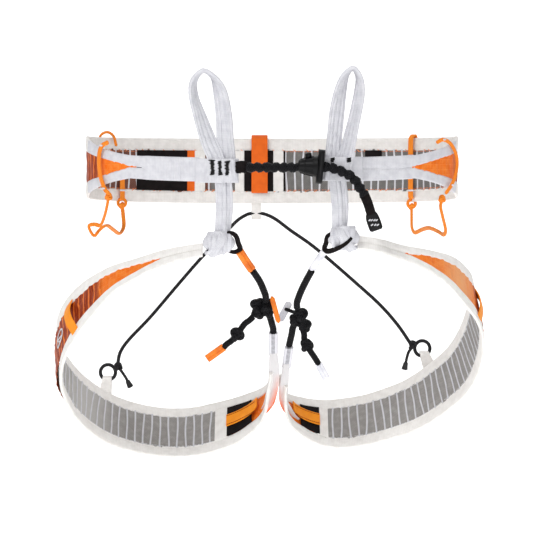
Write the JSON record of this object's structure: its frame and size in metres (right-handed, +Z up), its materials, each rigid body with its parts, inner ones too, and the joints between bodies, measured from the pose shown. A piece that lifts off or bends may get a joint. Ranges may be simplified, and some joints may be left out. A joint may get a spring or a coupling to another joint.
{
  "type": "climbing harness",
  "caption": "Light climbing harness: mesh waist belt, two leg loops on knotted risers, tie-in loops, gear loops, toggle closures and rear elastics.",
  "frame": {"origin": "middle of the waist opening, at the belt's mid-height", "axes": "+Z up, the front with the tie-in loops at -Y, +X the wearer's left"},
  "size_m": [0.3493, 0.2169, 0.3222],
  "materials": {
    "white_webbing": "woven, matt",
    "mesh_liner": "ladder mesh with white bars",
    "orange_ripstop": "thin coated fabric",
    "orange_tape": "woven tape",
    "black_webbing": "woven, matt",
    "black_cord": "braided cord",
    "black_elastic": "covered elastic cord",
    "clear_sleeve": "thin white tube",
    "black_plastic": "moulded",
    "orange_plastic": "moulded",
    "white_plastic": "moulded"
  },
  "bodies": {
    "waist_belt": {"belt_liner": "mesh_liner", "belt_shell": "orange_ripstop", "belt_top_strand": "white_webbing", "belt_bottom_strand": "white_webbing", "front_strap_left": "white_webbing", "front_strap_right": "white_webbing", "tie_in_loop_left": "white_webbing", "tie_in_loop_right": "white_webbing", "cuff_left": "white_webbing", "cuff_right": "white_webbing", "riser_left": "white_webbing", "riser_right": "white_webbing", "rear_panel": "black_webbing", "rear_strap": "orange_tape", "belt_patches": "black_webbing", "rear_tab": "white_webbing", "rear_elastic_left": "black_elastic", "rear_elastic_right": "black_elastic", "gear_loop_anchor_left": "orange_tape", "gear_loop_anchor_right": "orange_tape", "connector_anchor": "black_webbing", "connector_cord": "black_cord", "connector_tail": "black_cord", "connector_sleeve": "black_webbing", "pull_tab": "black_plastic"},
    "leg_loop_left": {"leg_liner_left": "mesh_liner", "leg_shell_left": "orange_ripstop", "leg_upper_strand_left": "white_webbing", "leg_lower_strand_left": "white_webbing", "leg_knot_left": "white_webbing", "leg_panel_left": "black_webbing", "leg_adjuster_left": "orange_tape", "leg_tab_left": "white_webbing", "strap_sleeve_left": "clear_sleeve", "closure_loop_left": "black_webbing", "closure_sleeve_left": "white_plastic", "closure_cord_left": "black_cord", "closure_knot_left": "black_cord", "closure_tail_left": "black_cord", "tail_end_left": "white_plastic"},
    "gear_loop_left": {"gear_loop_left": "orange_tape"},
    "toggle_left": {"toggle_left": "white_plastic"},
    "leg_loop_right": {"leg_liner_right": "mesh_liner", "leg_shell_right": "orange_ripstop", "leg_upper_strand_right": "white_webbing", "leg_lower_strand_right": "white_webbing", "leg_knot_right": "white_webbing", "leg_panel_right": "black_webbing", "leg_adjuster_right": "orange_tape", "leg_tab_right": "white_webbing", "strap_sleeve_right": "clear_sleeve", "closure_loop_right": "black_webbing", "closure_sleeve_right": "orange_plastic", "closure_cord_right": "black_cord", "closure_knot_right": "black_cord", "closure_tail_right": "black_cord", "tail_end_right": "orange_plastic"},
    "gear_loop_right": {"gear_loop_right": "orange_tape"},
    "toggle_right": {"toggle_right": "orange_plastic"},
    "stopper": {"stopper": "black_plastic"}
  },
  "joints": [
    {"name": "leg_swing_left", "type": "hinge", "parent": "waist_belt", "child": "leg_loop_left", "pos_m": [0.055, -0.095, -0.052], "axis": [1, 0, 0], "range_deg": [-15, 25], "stiffness_Nm_per_rad": 0.2, "springref_deg": 3.49, "deforming": ["rear_elastic_left"]},
    {"name": "leg_swing_right", "type": "hinge", "parent": "waist_belt", "child": "leg_loop_right", "pos_m": [-0.041, -0.095, -0.056], "axis": [1, 0, 0], "range_deg": [-15, 25], "stiffness_Nm_per_rad": 0.2, "springref_deg": 4.15, "deforming": ["rear_elastic_right"]},
    {"name": "gear_swing_left", "type": "hinge", "parent": "waist_belt", "child": "gear_loop_left", "pos_m": [0.127, 0.0085, -0.027], "axis": [0.1399, -0.9877, 0.0699], "range_deg": [0, 40]},
    {"name": "gear_swing_right", "type": "hinge", "parent": "waist_belt", "child": "gear_loop_right", "pos_m": [-0.128, -0.0005, -0.0255], "axis": [0.018, 0.9966, -0.0808], "range_deg": [0, 40]},
    {"name": "stopper_slide", "type": "slide", "parent": "waist_belt", "child": "stopper", "axis": [1, 0, 0], "range_m": [-0.03, 0]},
    {"name": "toggle_tip_left", "type": "hinge", "parent": "leg_loop_left", "child": "toggle_left", "pos_m": [0.0103, -0.022, -0.1145], "axis": [0, 1, 0], "range_deg": [-30, 30]},
    {"name": "toggle_tip_right", "type": "hinge", "parent": "leg_loop_right", "child": "toggle_right", "pos_m": [0.0019, -0.052, -0.11075], "axis": [0, 1, 0], "range_deg": [-5, 60]}
  ]
}
